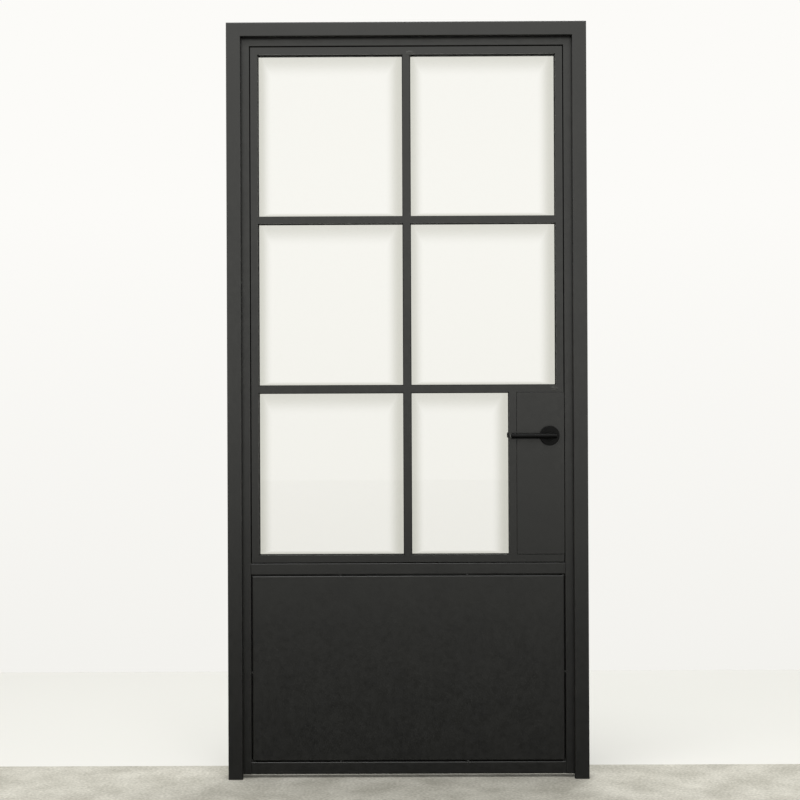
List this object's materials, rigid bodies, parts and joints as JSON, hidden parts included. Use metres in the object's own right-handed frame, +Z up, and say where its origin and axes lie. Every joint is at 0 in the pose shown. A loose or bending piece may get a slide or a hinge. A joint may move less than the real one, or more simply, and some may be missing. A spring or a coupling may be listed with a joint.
{
  "type": "glazed steel door",
  "caption": "Black steel door in its frame, with a glazed lattice above a plain kick panel, a lock plate and a lever handle.",
  "frame": {"origin": "on the hinge jamb's outer face, at floor level, in the middle of the frame's depth", "axes": "+X runs from the hinge side to the latch side, +Y from the stop side to the side that the leaf opens to, +Z up"},
  "size_m": [1, 0.159, 2.1],
  "materials": {
    "black_coat": "satin",
    "handle_black": "satin",
    "clear_glass": "gloss",
    "rubber": "matte",
    "zinc_steel": "satin"
  },
  "bodies": {
    "frame": {"hinge_jamb": "black_coat", "hinge_jamb_stop": "black_coat", "latch_jamb": "black_coat", "latch_jamb_stop": "black_coat", "frame_head": "black_coat", "frame_head_stop": "black_coat", "seal_hinge_side": "rubber", "seal_latch_side": "rubber", "seal_head": "rubber", "strike_plate": "zinc_steel", "frame_hinge_bottom": "black_coat", "frame_hinge_middle": "black_coat", "frame_hinge_top": "black_coat"},
    "leaf": {"leaf_hinge_bottom": "black_coat", "leaf_hinge_middle": "black_coat", "leaf_hinge_top": "black_coat", "hinge_stile": "black_coat", "latch_stile": "black_coat", "top_rail": "black_coat", "mid_rail": "black_coat", "bottom_rail": "black_coat", "glazing_bar_left": "black_coat", "glazing_bar_right": "black_coat", "glazing_bar_top": "black_coat", "glazing_bar_bottom": "black_coat", "centre_muntin": "black_coat", "upper_cross_muntin": "black_coat", "lower_cross_muntin": "black_coat", "lock_side_bar": "black_coat", "glass_top_left": "clear_glass", "glass_top_right": "clear_glass", "glass_middle_left": "clear_glass", "glass_middle_right": "clear_glass", "glass_bottom_left": "clear_glass", "glass_bottom_right": "clear_glass", "beads_top_row": "black_coat", "beads_middle_row": "black_coat", "beads_bottom_row": "black_coat", "lock_plate_front": "black_coat", "lock_plate_back": "black_coat", "kick_panel_front": "black_coat", "kick_panel_back": "black_coat", "rosette_front": "handle_black", "rosette_back": "handle_black", "lock_forend": "zinc_steel", "latch_bolt": "zinc_steel"},
    "handle": {"lever_front": "handle_black", "lever_back": "handle_black", "spindle": "zinc_steel"}
  },
  "joints": [
    {"name": "door_swing", "type": "hinge", "parent": "frame", "child": "leaf", "pos_m": [0.03, 0.038, 1.05], "axis": [0, 0, 1], "range_deg": [0, 110]},
    {"name": "handle_turn", "type": "hinge", "parent": "leaf", "child": "handle", "pos_m": [0.895, 0.01, 0.94983], "axis": [0, -1, 0], "range_deg": [0, 40], "stiffness_Nm_per_rad": 1.5, "springref_deg": -20.05}
  ]
}
